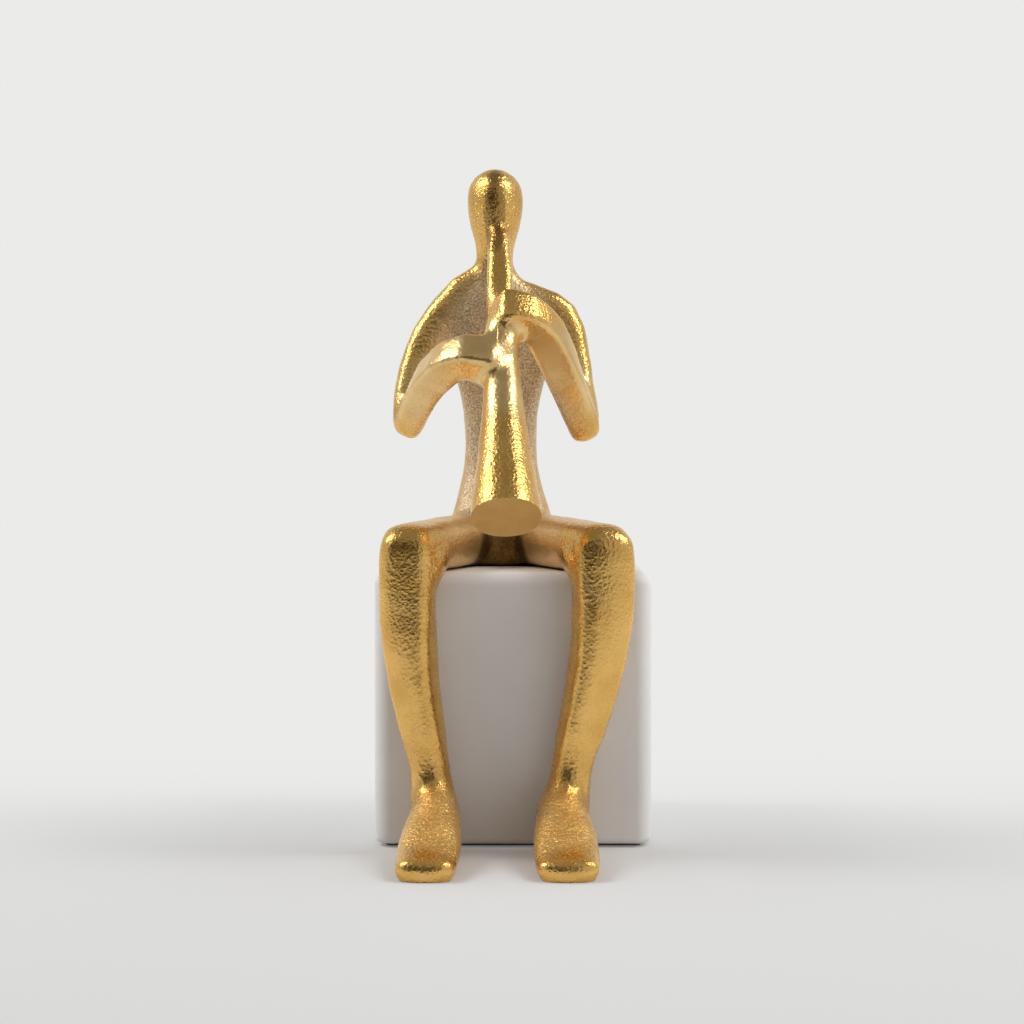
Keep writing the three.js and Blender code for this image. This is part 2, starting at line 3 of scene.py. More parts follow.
import bpy
import numpy as np
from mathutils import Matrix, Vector

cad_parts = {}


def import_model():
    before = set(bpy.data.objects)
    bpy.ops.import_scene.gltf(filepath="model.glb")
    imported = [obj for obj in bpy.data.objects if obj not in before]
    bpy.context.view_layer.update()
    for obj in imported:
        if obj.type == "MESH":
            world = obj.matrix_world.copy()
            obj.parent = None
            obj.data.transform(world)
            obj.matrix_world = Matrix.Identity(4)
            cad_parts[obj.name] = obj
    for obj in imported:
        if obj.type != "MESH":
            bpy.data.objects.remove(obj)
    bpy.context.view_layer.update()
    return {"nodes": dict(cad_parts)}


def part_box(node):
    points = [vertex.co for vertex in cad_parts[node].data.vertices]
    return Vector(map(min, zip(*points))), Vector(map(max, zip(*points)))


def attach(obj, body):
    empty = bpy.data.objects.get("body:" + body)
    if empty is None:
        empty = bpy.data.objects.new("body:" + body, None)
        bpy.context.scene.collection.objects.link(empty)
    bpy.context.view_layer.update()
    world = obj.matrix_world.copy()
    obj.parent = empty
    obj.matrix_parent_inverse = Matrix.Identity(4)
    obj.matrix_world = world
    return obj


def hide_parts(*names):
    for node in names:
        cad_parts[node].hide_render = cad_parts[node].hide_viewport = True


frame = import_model()

MM = 0.001
SIDES = ("right", "left")
CASTINGS = ("torso", "head", "horn", "right_arm", "left_arm", "right_leg", "left_leg")
DOWELS = (
    "neck_dowel",
    "mouth_dowel",
    "right_shoulder_dowel",
    "left_shoulder_dowel",
    "right_hand_dowel",
    "left_hand_dowel",
    "right_hip_dowel",
    "left_hip_dowel",
)
ROD_NODES = ("tie_rod", "tie_rod_washer", "tie_rod_nut")

# Skin of the castings: its mesh, and the metal left past the bell and the soles for the last cut
SKIN_VOXEL = 1.0 * MM
SKIN_SWELL = 0.7 * MM
SKIN_SMOOTHING = 10
SKIN_REGAIN = 0.05 * MM
SMOOTH_FACTOR = 0.5
SPARE_METAL = 4 * MM

# Closeness in metres: points on one plane, doubles to merge, and points that a cut leaves in place
ON_PLANE = 0.02 * MM
MERGE_WITHIN = 1e-6
CUT_WITHIN = 1e-7

# Fillets by joint: full smoothing within the first distance of a dowel's middle, none past the second
FILLETS = {
    "neck": (4 * MM, 10 * MM),
    "mouth": (3 * MM, 8 * MM),
    "shoulder": (3 * MM, 8 * MM),
    "hand": (8 * MM, 18 * MM),
    "hip": (12 * MM, 26 * MM),
}
FILLET_SMOOTHING = 30

# Weld metal at the hands, and the zones that are smoothed at the grip, the knees and the ankles
WELD_RADIUS = 6.5 * MM
WELD_FINENESS = 3
GRIP_SHARES = (0.25, 0.5, 0.75)
GRIP_FORWARD = 3 * MM
GRIP_FILLET = (5 * MM, 10 * MM)
GRIP_SMOOTHING = 60
KNEE_FILLET = (14 * MM, 24 * MM)
KNEE_FROM = 0.85
ANKLE_BAND = (10 * MM, 18 * MM, 32 * MM, 44 * MM)
ANKLE_HEIGHT = 29 * MM
ANKLE_ROOM = 2 * MM
ANKLE_FILLET = (9 * MM, 18 * MM)
ANKLE_SMOOTHING = 100

# Insteps: how far they sink, by the distance in front of the ankle and by the height
INSTEP_DROP = 3 * MM
INSTEP_REACH = (-24 * MM, -5 * MM, 1 * MM, 5 * MM)
INSTEP_BAND = (9 * MM, 19 * MM, 34 * MM, 44 * MM)

# Cast surface: lumps left by the hand, and the pebbled grain of the mould
LUMPS = {"size": 9 * MM, "detail": 0, "height": 0.35 * MM}
PEBBLES = {"size": 0.9 * MM, "detail": 1, "height": 0.16 * MM}
CREASE_ANGLE = math.radians(42)

# Joints between the castings: room in them, and the share of a neck or hip dowel that is in the torso
DOWEL_CLEARANCE = 0.3 * MM
HOLE_ROOM = 2 * DOWEL_CLEARANCE
SEAT_CLEARANCE = 0.1 * MM
SEAM_SWELL = 1.2 * MM
REGION_ROOM = 3 * MM
NECK_SHARE = 0.5
HIP_SHARE = 10 / 23

# Block and felt
BLOCK_CORNER_RADIUS = 6 * MM
BLOCK_TOP_RADIUS = 5 * MM
BLOCK_FOOT_RADIUS = 2.5 * MM
BEVEL_STEPS = 8
COUNTERBORE_ROOM = 2 * MM
COUNTERBORE_SIDES = 48
FELT_CORNER_RADIUS = 2 * MM
FELT_EDGE_RADIUS = 0.3 * MM
FELT_EDGE_STEPS = 3
FELT_CELLS = 24
FELT_FUZZ = {"size": 2 * MM, "detail": 2, "height": 0.04 * MM}

# Zones of the cast gold: the middle and the half sizes of an egg shape, and between what it fades out
CHEST = ((-5 * MM, -6 * MM, 165 * MM), (31 * MM, 22 * MM, 58 * MM))
LAP = ((-4.5 * MM, -28 * MM, 110 * MM), (36 * MM, 36 * MM, 20 * MM))
# Painted shade: the hollow under the bell is darkened with a brown, where shade falls
HOLLOW = ((-4.5 * MM, -12 * MM, 104 * MM), (12 * MM, 17 * MM, 17 * MM))
SHINS = ((-3 * MM, -60 * MM, 60 * MM), (60 * MM, 40 * MM, 24 * MM))
# The forearms are satin and smooth, and take a paler gold painted for the pale floor that they reflect
FOREARMS = ((-6 * MM, -28 * MM, 172 * MM), (46 * MM, 42 * MM, 26 * MM))
FEET = ((-5 * MM, -88 * MM, 16 * MM), (42 * MM, 26 * MM, 20 * MM))
EGG_FADE = (1.1, 0.8)
LAP_MATTE = 0.35

# Painted dark reflection down the head's middle: half sizes as shares of the head's size, and how dark it
# is
FACE_SHARES = np.array((0.2, 0.5, 0.6))
FACE_SHADE = 0.6

# Patterns in the node groups: detail of the noise, and how its values are spread
WARP_DETAIL = 2.0
PEBBLE_WARP = 0.9 * MM
PEBBLE_SMOOTHNESS = 0.5
PEBBLE_TOPS = (0.4, 0.8)
SAND_DETAIL = 1.0
SAND_SHARE = 0.35
CLOUD_DETAIL = 3.0
CLOUD_SPREAD = (0.3, 0.7)
LINE_DETAIL = 2.0
LINE_STRETCH = (0.03, 1.0, 1.0)

# Cast gold: colours from dark to light, patterns per metre, roughness, metal, relief and bump
RICH_GOLD = ((0.76, 0.445, 0.12), (0.88, 0.54, 0.165))
# PALE_GOLD goes on the forearms, a painted reflection of the pale floor
PALE_GOLD = ((0.82, 0.56, 0.24), (0.90, 0.64, 0.29))
DULL_GOLD = ((0.42, 0.31, 0.18), (0.95, 0.75, 0.49))
# Brown of the painted shade in the hollow and of the painted dark reflection down the face
PAINTED_SHADE = ((0.15, 0.085, 0.025), (0.28, 0.16, 0.05))
GOLD_CLOUDS = 90.0
GOLD_SPECKS = 1500.0
GOLD_PEBBLES = 850.0
GOLD_SAND = 2800.0
GLOSS_ROUGHNESS = (0.30, 0.18)
SATIN_ROUGHNESS = 0.3
MATTE_ROUGHNESS = 0.55
GOLD_METALLIC = (1.0, 0.7)
SMOOTH_RELIEF = (0.65, 0.3)
GRAINY_RELIEF = (1.0, 3.0)
GOLD_BUMP = (0.8, 0.3 * MM)

# Sawn gold of the bell
SAWN_GOLD = ((0.84, 0.54, 0.19), (0.91, 0.60, 0.23))
SAWN_CLOUDS = 160.0
SAWN_LINES = 1000.0
SAWN_ROUGHNESS = (0.42, 0.6)
SAWN_BUMP = (0.3, 0.1 * MM)

# White paint of the block
PAINT_WHITE = ((0.71, 0.687, 0.668), (0.73, 0.708, 0.69))
PAINT_CLOUDS = 45.0
PEEL_SCALE = 900.0
PEEL_DETAIL = 2.0
PAINT_ROUGHNESS = (0.5, 0.7)
PAINT_BUMP = (0.12, 0.15 * MM)

# Pressed felt
FELT_GREY = ((0.065, 0.06, 0.055), (0.11, 0.10, 0.09))
FELT_CLOUDS = 300.0
FIBRE_SCALE = 2600.0
FIBRE_DETAIL = 4.0
FELT_ROUGHNESS = 0.95
FELT_SHEEN = 0.3
FELT_BUMP = (0.8, 0.4 * MM)

# Bright steel of the dowels and the tie rod
STEEL_GREY = ((0.46, 0.47, 0.48), (0.58, 0.58, 0.59))
STEEL_CLOUDS = 240.0
STEEL_LINES = 3000.0
STEEL_ROUGHNESS = (0.25, 0.4)
STEEL_BUMP = (0.2, 0.1 * MM)

# Sockets of a Mix node that mixes colours
MIX_SHARE = 0
MIX_FIRST = 6
MIX_SECOND = 7
MIX_RESULT = 2

# Camera, fitted to the block in the photograph
CAMERA_PLACE = Vector((-0.4, -870, 153)) * MM
CAMERA_PITCH = math.radians(2.0)
CAMERA_LENS = 78.08
SENSOR_WIDTH = 36.0
CLIP_START = 0.05

# Studio, in metres: softboxes by place, size and brightness
AIM = Vector((0, 0, 0.12))
SOFTBOXES = {
    "left_softbox": {"place": (-0.95, 0.05, 1.05), "size": (0.4, 0.55), "brightness": 8.0},
    "right_softbox": {"place": (0.86, -0.1, 1.05), "size": (0.35, 0.55), "brightness": 8.0},
}

# Dark card behind the camera: part of a ball, cut off at its left, its right, its middle and its top
CARD_RADIUS = 1.08
CARD_SEGMENTS = 96
CARD_RINGS = 48
CARD_LEFT = Vector((-0.616, 0.788, 0))
CARD_RIGHT = Vector((0.951, 0.309, 0))
CARD_TOP = 0.69
CARD_GREY = (0.06, 0.058, 0.055)

# Floor, background, the walls and ceiling that the metal mirrors, and the light ahead and to the sides
FLOOR_RADIUS = 6.0
FLOOR_SIDES = 96
FLOOR_SINK = 0.1 * MM
FLOOR_FADE = (-0.12, 0.2)
FLOOR_GREY = (0.64, 0.64, 0.635)
FLOOR_ROUGHNESS = 0.9
FLOOR_SPECULAR = 0.1
PALE = (0.83, 0.83, 0.82)
WALL_GREY = (0.54, 0.535, 0.52)
BACKDROP_EDGE = (0.6, 0.9)
CEILING_GREY = (0.25, 0.245, 0.235)
CEILING_RISE = (0.5, 0.85)
ROOM_WHITE = (1, 1, 1)
ROOM_LIGHT = (0.31, 1.6)

ORIGIN = Vector((0, 0, 0))
UP = Vector((0, 0, 1))


# Working on one object at a time
def pick(*objects):
    """Selects these objects alone, with the last of them active."""
    bpy.ops.object.select_all(action="DESELECT")
    for obj in objects:
        obj.select_set(True)
    bpy.context.view_layer.objects.active = objects[-1]
    return objects[-1]


def edit_mode(obj, kind):
    """Enters edit mode on one object with nothing selected."""
    pick(obj)
    bpy.ops.object.mode_set(mode="EDIT")
    bpy.ops.mesh.select_mode(type=kind)
    bpy.ops.mesh.select_all(action="DESELECT")


def object_mode():
    bpy.ops.object.mode_set(mode="OBJECT")


def points_of(obj):
    """The vertices of a mesh as rows of x, y, z."""
    points = np.empty(len(obj.data.vertices) * 3)
    obj.data.vertices.foreach_get("co", points)
    return points.reshape(-1, 3)


def select_points(obj, chosen):
    """Enters edit mode with these vertices, and the faces between them, selected."""
    edit_mode(obj, "VERT")
    object_mode()
    obj.data.vertices.foreach_set("select", np.asarray(chosen, bool))
    bpy.ops.object.mode_set(mode="EDIT")
    bpy.ops.mesh.select_mode(type="VERT")


def select_all(obj):
    edit_mode(obj, "VERT")
    bpy.ops.mesh.select_all(action="SELECT")


def modify(obj, kind, **settings):
    """Adds one modifier with these settings and applies it."""
    pick(obj)
    bpy.ops.object.modifier_add(type=kind)
    modifier = obj.modifiers[-1]
    for name, value in settings.items():
        setattr(modifier, name, value)
    bpy.ops.object.modifier_apply(modifier=modifier.name)


def swell(obj, height):
    """Moves the surface out along its normals, or in where the height is negative."""
    modify(obj, "DISPLACE", direction="NORMAL", mid_level=0.0, strength=height)


def smooth(obj, rounds, group=""):
    """Evens out the surface, all over or by the weights of a vertex group."""
    modify(obj, "SMOOTH", factor=SMOOTH_FACTOR, iterations=rounds, vertex_group=group)


def roughen(obj, name, size, detail, height):
    """Raises and sinks the surface with a cloud pattern."""
    texture = bpy.data.textures.new(name, "CLOUDS")
    texture.noise_scale = size
    texture.noise_depth = detail
    modify(obj, "DISPLACE", texture=texture, texture_coords="LOCAL", mid_level=0.5, strength=height)


def boolean(obj, cutter, operation):
    modify(obj, "BOOLEAN", object=cutter, operation=operation, solver="MANIFOLD")


def trim(obj, place, outward, close=True):
    """Cuts off what lies past a plane, and closes the cut unless told not to."""
    select_all(obj)
    bpy.ops.mesh.bisect(
        plane_co=place, plane_no=outward, use_fill=close, clear_outer=True, threshold=CUT_WITHIN
    )
    object_mode()


def round_edges(obj, radius, chosen):
    """Rounds each edge whose two ends pass a test."""
    edit_mode(obj, "EDGE")
    object_mode()
    corners = obj.data.vertices
    for edge in obj.data.edges:
        edge.select = chosen(*(corners[i].co for i in edge.vertices))
    bpy.ops.object.mode_set(mode="EDIT")
    bpy.ops.mesh.bevel(offset=radius, offset_type="OFFSET", segments=BEVEL_STEPS)
    object_mode()


def new_object(name, data):
    obj = bpy.data.objects.new(name, data)
    bpy.context.scene.collection.objects.link(obj)
    return obj


def copy_of(node, name):
    """A copy of a CAD node as a new object, with its loose triangles merged."""
    copy = new_object(name, frame["nodes"][node].data.copy())
    copy.data.materials.clear()
    select_all(copy)
    bpy.ops.mesh.remove_doubles(threshold=MERGE_WITHIN)
    object_mode()
    return copy


def box_between(low, high, name):
    """A closed box between two corners."""
    bpy.ops.object.select_all(action="DESELECT")
    bpy.ops.mesh.primitive_cube_add(size=1, location=(low + high) / 2, scale=high - low)
    box = bpy.context.object
    box.name = name
    bpy.ops.object.transform_apply(location=True, rotation=True, scale=True)
    return box


def discard(*objects):
    for obj in objects:
        bpy.data.objects.remove(obj)


class Bar:
    """A straight round node of the frame: its middle, its direction and its size."""

    def __init__(self, node):
        points = points_of(frame["nodes"][node])
        self.middle = (points.min(0) + points.max(0)) / 2
        self.along = np.linalg.svd(points - self.middle, full_matrices=False)[2][0]
        self.length = np.ptp(self.heights(points))
        self.radius = self.distances(points).max()

    def heights(self, points):
        return (points - self.middle) @ self.along

    def distances(self, points):
        return np.linalg.norm(points - self.middle - np.outer(self.heights(points), self.along), axis=1)

    def towards(self, node):
        """Its direction, turned to point at a node."""
        low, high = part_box(node)
        step = np.array((low + high) / 2) - self.middle
        return self.along * math.copysign(1, step @ self.along)


dowels = {name: Bar(name) for name in DOWELS}
hand_places = [dowels[f"{side}_hand_dowel"].middle for side in SIDES]
horn_axis = dowels["mouth_dowel"].towards("horn")
horn_front = np.cross(horn_axis, (1, 0, 0))
bell_reach = (points_of(frame["nodes"]["horn"]) @ horn_axis).max()


# Castings: one welded skin over all seven, parted again at the joints
def on_bell(points):
    """Which points lie on the flat end of the horn."""
    return points @ horn_axis > bell_reach - ON_PLANE


def rough_casting(node):
    """A copy of a casting with spare metal past the bell or the sole."""
    copy = copy_of(node, f"rough_{node}")
    points = points_of(copy)
    if node == "horn":
        select_points(copy, on_bell(points))
        bpy.ops.transform.translate(value=Vector(horn_axis) * SPARE_METAL)
        object_mode()
    if node.endswith("leg"):
        select_points(copy, points[:, 2] < ON_PLANE)
        bpy.ops.transform.translate(value=-UP * SPARE_METAL)
        object_mode()
    return copy


def grip_places():
    """Places on the front of the horn, from the lower hand to the upper one."""
    line = dowels["mouth_dowel"]
    lower, upper = (line.middle + line.along * line.heights(place) for place in hand_places)
    return [lower + (upper - lower) * share + horn_front * GRIP_FORWARD for share in GRIP_SHARES]


def weld_metal(place):
    """A bead of metal that fills a joint between the hands and the horn."""
    bpy.ops.object.select_all(action="DESELECT")
    bpy.ops.mesh.primitive_ico_sphere_add(subdivisions=WELD_FINENESS, radius=WELD_RADIUS, location=place)
    bpy.ops.object.transform_apply(location=True, rotation=True, scale=True)
    return bpy.context.object


def knee_place(side):
    """The middle of the part of a leg that stands in front of the upper end of the block."""
    low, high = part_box("seat_block")
    points = points_of(frame["nodes"][f"{side}_leg"])
    knee = points[(points[:, 1] < low.y) & (points[:, 2] > KNEE_FROM * high.z)]
    return (knee.min(0) + knee.max(0)) / 2


def ankle_place(side):
    """The front of a leg where the shin goes over into the foot."""
    points = points_of(frame["nodes"][f"{side}_leg"])
    ankle = points[np.abs(points[:, 2] - ANKLE_HEIGHT) < ANKLE_ROOM]
    return np.array((ankle[:, 0].mean(), ankle[:, 1].min(), ANKLE_HEIGHT))


def vertex_group(skin, name, weights):
    """A vertex group with one weight for each vertex."""
    group = skin.vertex_groups.new(name=name)
    for index in np.nonzero(weights)[0]:
        group.add([int(index)], weights[index], "REPLACE")
    return group.name


def near(points, place, reach):
    """Weights that are full within the first distance of a place and nothing past the second."""
    return np.interp(np.linalg.norm(points - place, axis=1), reach, (1, 0))


def band(values, edges):
    """Weights that rise from the first edge to the second and fall from the third to the fourth."""
    return np.interp(values, edges, (0, 1, 1, 0))


def zone_group(skin, name, zones, weights=0):
    """A vertex group of zones, each full near its place, on top of the weights given."""
    points = points_of(skin)
    for place, reach in zones:
        weights = np.maximum(weights, near(points, place, reach))
    return vertex_group(skin, name, weights)


def fillet_group(skin):
    """A vertex group that is full at each joint, knee and ankle and fades out round it."""
    zones = [(knee_place(side), KNEE_FILLET) for side in SIDES]
    for joint, reach in FILLETS.items():
        zones += [(dowel.middle, reach) for name, dowel in dowels.items() if joint in name]
    return zone_group(skin, "fillets", zones, band(points_of(skin)[:, 2], ANKLE_BAND))


def instep_group(skin):
    """A vertex group of the insteps, just in front of the ankles."""
    points = points_of(skin)
    ahead = points[:, 1] - ankle_place("right")[1]
    weights = band(ahead, INSTEP_REACH) * band(points[:, 2], INSTEP_BAND)
    return vertex_group(skin, "insteps", weights)


def clear_seat(skin):
    """Cuts away what would stand in the block."""
    seat = copy_of("seat_block", "seat_cutter")
    swell(seat, SEAT_CLEARANCE)
    boolean(skin, seat, "DIFFERENCE")
    discard(seat)


def welded_skin():
    """One closed skin over the seven castings, filleted at the joints and grained all over."""
    parts = [weld_metal(place) for place in hand_places + grip_places()]
    parts += [copy_of(dowel, f"rough_{dowel}") for dowel in DOWELS]
    parts += [rough_casting(node) for node in CASTINGS]
    for part in parts:
        swell(part, SKIN_SWELL)
    skin = pick(*parts)
    bpy.ops.object.join()
    modify(skin, "REMESH", mode="VOXEL", voxel_size=SKIN_VOXEL)
    swell(skin, -SKIN_SWELL)
    insteps = instep_group(skin)
    modify(skin, "DISPLACE", direction="Z", mid_level=0.0, strength=-INSTEP_DROP, vertex_group=insteps)
    smooth(skin, SKIN_SMOOTHING)
    smooth(skin, FILLET_SMOOTHING, fillet_group(skin))
    grip = [(place, GRIP_FILLET) for place in grip_places()]
    smooth(skin, GRIP_SMOOTHING, zone_group(skin, "grip", grip))
    ankles = [(ankle_place(side) - np.array(UP) * INSTEP_DROP, ANKLE_FILLET) for side in SIDES]
    smooth(skin, ANKLE_SMOOTHING, zone_group(skin, "ankles", ankles))
    swell(skin, SKIN_REGAIN)
    modify(skin, "SUBSURF", levels=1, render_levels=1)
    roughen(skin, "lumps", **LUMPS)
    roughen(skin, "pebbles", **PEBBLES)
    trim(skin, ORIGIN, -UP)
    clear_seat(skin)
    return skin


def seam_region(node):
    """A casting with its dowel holes closed, swollen so that it takes in its fillets."""
    region = rough_casting(node)
    points = points_of(region)
    in_hole = np.zeros(len(points), bool)
    for dowel in dowels.values():
        beside = dowel.distances(points) < dowel.radius + HOLE_ROOM
        in_hole |= beside & (np.abs(dowel.heights(points)) < dowel.length / 2 + HOLE_ROOM)
    select_points(region, in_hole)
    bpy.ops.mesh.delete(type="VERT")
    bpy.ops.mesh.select_all(action="SELECT")
    bpy.ops.mesh.fill_holes(sides=0)
    bpy.ops.mesh.quads_convert_to_tris()
    bpy.ops.mesh.normals_make_consistent(inside=False)
    object_mode()
    swell(region, SEAM_SWELL)
    return region


def room_round(*nodes):
    """The corners of a box round some nodes, with room to spare."""
    corners = np.array([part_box(node) for node in nodes])
    low = Vector(corners[:, 0].min(0) - REGION_ROOM)
    high = Vector(corners[:, 1].max(0) + REGION_ROOM)
    return low, high


def one_side(corners, side, middle):
    """The half of a box that lies on one side of the figure."""
    low, high = corners
    if side == "right":
        high.x = middle
    else:
        low.x = middle
    return low, high


def past_joint(box, node, dowel, share):
    """Cuts a box off where a dowel crosses its joint, and keeps the node's side."""
    along = dowel.towards(node)
    place = dowel.middle + along * dowel.length * (share - 0.5)
    trim(box, Vector(place), Vector(-along))
    return box


def part_off(rest, region, node):
    """Splits the skin: what lies in the region becomes a piece, and the rest loses it."""
    piece = new_object(f"cast_{node}", rest.data.copy())
    boolean(piece, region, "INTERSECT")
    boolean(rest, region, "DIFFERENCE")
    discard(region)
    return piece


def part_horn(rest):
    horn = part_off(rest, seam_region("horn"), "horn")
    trim(horn, Vector(horn_axis) * bell_reach, Vector(horn_axis))
    return horn


def part_head(rest):
    box = box_between(*room_round("head"), "head_region")
    return part_off(rest, past_joint(box, "head", dowels["neck_dowel"], NECK_SHARE), "head")


def part_leg(rest, side):
    node = f"{side}_leg"
    middle = (dowels["right_hip_dowel"].middle[0] + dowels["left_hip_dowel"].middle[0]) / 2
    box = box_between(*one_side(room_round(node), side, middle), f"{node}_region")
    return part_off(rest, past_joint(box, node, dowels[f"{side}_hip_dowel"], HIP_SHARE), node)


def part_arm(rest, side):
    node = f"{side}_arm"
    middle = (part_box("right_arm")[1].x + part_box("left_arm")[0].x) / 2
    box = box_between(*one_side(room_round("right_arm", "left_arm"), side, middle), f"{node}_region")
    torso = seam_region("torso")
    boolean(box, torso, "DIFFERENCE")
    discard(torso)
    return part_off(rest, box, node)


def drill(pieces, bars):
    """Drills the holes that take these bars."""
    cutters = [copy_of(name, f"{name}_hole") for name in bars]
    for cutter in cutters:
        swell(cutter, DOWEL_CLEARANCE)
    holes = pick(*cutters)
    bpy.ops.object.join()
    for piece in pieces:
        boolean(piece, holes, "DIFFERENCE")
    discard(holes)


def castings():
    """The seven finished castings by node."""
    rest = welded_skin()
    pieces = {"horn": part_horn(rest), "head": part_head(rest)}
    for side in SIDES:
        pieces[f"{side}_leg"] = part_leg(rest, side)
    for side in SIDES:
        pieces[f"{side}_arm"] = part_arm(rest, side)
    pieces["torso"] = rest
    rest.name = "cast_torso"
    drill(pieces.values(), DOWELS)
    drill([rest], ["tie_rod"])
    return pieces


# Block: a cube with round edges, drilled for the tie rod and counterbored for its nut
def block():
    low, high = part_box("seat_block")
    obj = box_between(low, high, "painted_block")
    round_edges(obj, BLOCK_CORNER_RADIUS, lambda a, b: abs(a.z - b.z) > ON_PLANE)
    round_edges(obj, BLOCK_TOP_RADIUS, lambda a, b: min(a.z, b.z) > high.z - ON_PLANE)
    round_edges(obj, BLOCK_FOOT_RADIUS, lambda a, b: max(a.z, b.z) < low.z + ON_PLANE)
    drill([obj], ["tie_rod"])
    washer_low, washer_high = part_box("tie_rod_washer")
    middle = (washer_low + washer_high) / 2
    top = washer_high.z + DOWEL_CLEARANCE
    bpy.ops.object.select_all(action="DESELECT")
    bpy.ops.mesh.primitive_cylinder_add(
        vertices=COUNTERBORE_SIDES,
        radius=(washer_high.x - washer_low.x) / 2 + COUNTERBORE_ROOM,
        depth=2 * top,
        location=(middle.x, middle.y, 0),
    )
    counterbore = bpy.context.object
    boolean(obj, counterbore, "DIFFERENCE")
    discard(counterbore)
    return obj


# Felt: a cut sheet with soft edges, stuck under the block
def felt():
    low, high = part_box("base_felt")
    size = high - low
    bpy.ops.object.select_all(action="DESELECT")
    bpy.ops.mesh.primitive_grid_add(
        x_subdivisions=FELT_CELLS, y_subdivisions=FELT_CELLS, size=size.x, location=low + size / 2
    )
    obj = bpy.context.object
    obj.name = "felt_sheet"
    bpy.ops.object.transform_apply(location=True, rotation=True, scale=True)
    points = points_of(obj)
    middle = (points.min(0) + points.max(0)) / 2
    outer = np.abs(points - middle)[:, :2] > size.x / 2 - ON_PLANE
    select_points(obj, outer.all(axis=1))
    bpy.ops.mesh.bevel(affect="VERTICES", offset=FELT_CORNER_RADIUS, segments=BEVEL_STEPS)
    object_mode()
    modify(obj, "SOLIDIFY", thickness=size.z - FELT_FUZZ["height"], offset=0)
    modify(obj, "BEVEL", width=FELT_EDGE_RADIUS, segments=FELT_EDGE_STEPS, limit_method="ANGLE")
    roughen(obj, "felt_fuzz", **FELT_FUZZ)
    return obj


# Finishes
def opaque(colour):
    """A colour with full alpha."""
    return (*colour, 1)


class Nodes:
    """A node tree, with helpers that add nodes to it."""

    def __init__(self, tree):
        self.tree = tree

    def add(self, kind, links=(), **settings):
        """A node. Links give an input's name or number, and what feeds it or its value."""
        made = self.tree.nodes.new(kind)
        for name, value in settings.items():
            setattr(made, name, value)
        for socket, source in links:
            if isinstance(source, bpy.types.NodeSocket):
                self.tree.links.new(source, made.inputs[socket])
            else:
                made.inputs[socket].default_value = source
        return made

    def calculate(self, operation, *values):
        """The result of one sum, product or the like."""
        return self.add("ShaderNodeMath", enumerate(values), operation=operation).outputs["Value"]

    def noise(self, place, scale, detail):
        links = [("Vector", place), ("Scale", scale), ("Detail", detail)]
        return self.add("ShaderNodeTexNoise", links).outputs

    def fade(self, value, edges):
        """A share that goes softly from nothing at the first edge to full at the second."""
        links = [("Value", value), ("From Min", edges[0]), ("From Max", edges[1])]
        return self.add("ShaderNodeMapRange", links, interpolation_type="SMOOTHSTEP").outputs["Result"]

    def between(self, share, first, second):
        """A value between two, by a share."""
        links = [("Value", share), ("To Min", first), ("To Max", second)]
        return self.add("ShaderNodeMapRange", links).outputs["Result"]

    def blend(self, share, first, second):
        """A colour between two plain ones, by a share."""
        made = self.add("ShaderNodeValToRGB", [("Fac", share)])
        made.color_ramp.elements[0].color = opaque(first)
        made.color_ramp.elements[1].color = opaque(second)
        return made.outputs["Color"]

    def mix(self, share, first, second):
        """A colour between two that may be fed in, by a share."""
        links = [(MIX_SHARE, share), (MIX_FIRST, first), (MIX_SECOND, second)]
        return self.add("ShaderNodeMix", links, data_type="RGBA").outputs[MIX_RESULT]

    def mix_shaders(self, share, first, second):
        links = [("Fac", share), (1, first), (2, second)]
        return self.add("ShaderNodeMixShader", links).outputs["Shader"]


# Node groups for the finishes
def new_group(name, inputs, outputs):
    """A node group that reads a vector and these values and puts out these values."""
    tree = bpy.data.node_groups.new(name, "ShaderNodeTree")
    tree.interface.new_socket(name="Vector", in_out="INPUT", socket_type="NodeSocketVector")
    for socket in inputs:
        tree.interface.new_socket(name=socket, in_out="INPUT", socket_type="NodeSocketFloat")
    for socket in outputs:
        tree.interface.new_socket(name=socket, in_out="OUTPUT", socket_type="NodeSocketFloat")
    nodes = Nodes(tree)
    return nodes, nodes.add("NodeGroupInput").outputs


def cast_grain_group():
    """Pebbles and finer sand, as a height and as a mask of the pebbles' tops."""
    nodes, given = new_group("cast_grain", ["Pebbles", "Sand"], ["Height", "Tops"])
    warp = nodes.noise(given["Vector"], given["Pebbles"], WARP_DETAIL)["Color"]
    push = nodes.add("ShaderNodeVectorMath", [(0, warp), (1, (PEBBLE_WARP,) * 3)], operation="MULTIPLY")
    moved = nodes.add(
        "ShaderNodeVectorMath", [(0, given["Vector"]), (1, push.outputs["Vector"])], operation="ADD"
    )
    cells = nodes.add(
        "ShaderNodeTexVoronoi",
        [
            ("Vector", moved.outputs["Vector"]),
            ("Scale", given["Pebbles"]),
            ("Smoothness", PEBBLE_SMOOTHNESS),
        ],
        feature="SMOOTH_F1",
    )
    domes = nodes.calculate("SUBTRACT", 1.0, cells.outputs["Distance"])
    sand = nodes.noise(given["Vector"], given["Sand"], SAND_DETAIL)["Fac"]
    height = nodes.calculate("MULTIPLY_ADD", sand, SAND_SHARE, domes)
    nodes.add("NodeGroupOutput", [("Height", height), ("Tops", nodes.fade(domes, PEBBLE_TOPS))])
    return nodes.tree


def mottle_group():
    """Slow cloudy change over a surface."""
    nodes, given = new_group("mottle", ["Scale"], ["Share"])
    clouds = nodes.noise(given["Vector"], given["Scale"], CLOUD_DETAIL)["Fac"]
    nodes.add("NodeGroupOutput", [("Share", nodes.fade(clouds, CLOUD_SPREAD))])
    return nodes.tree


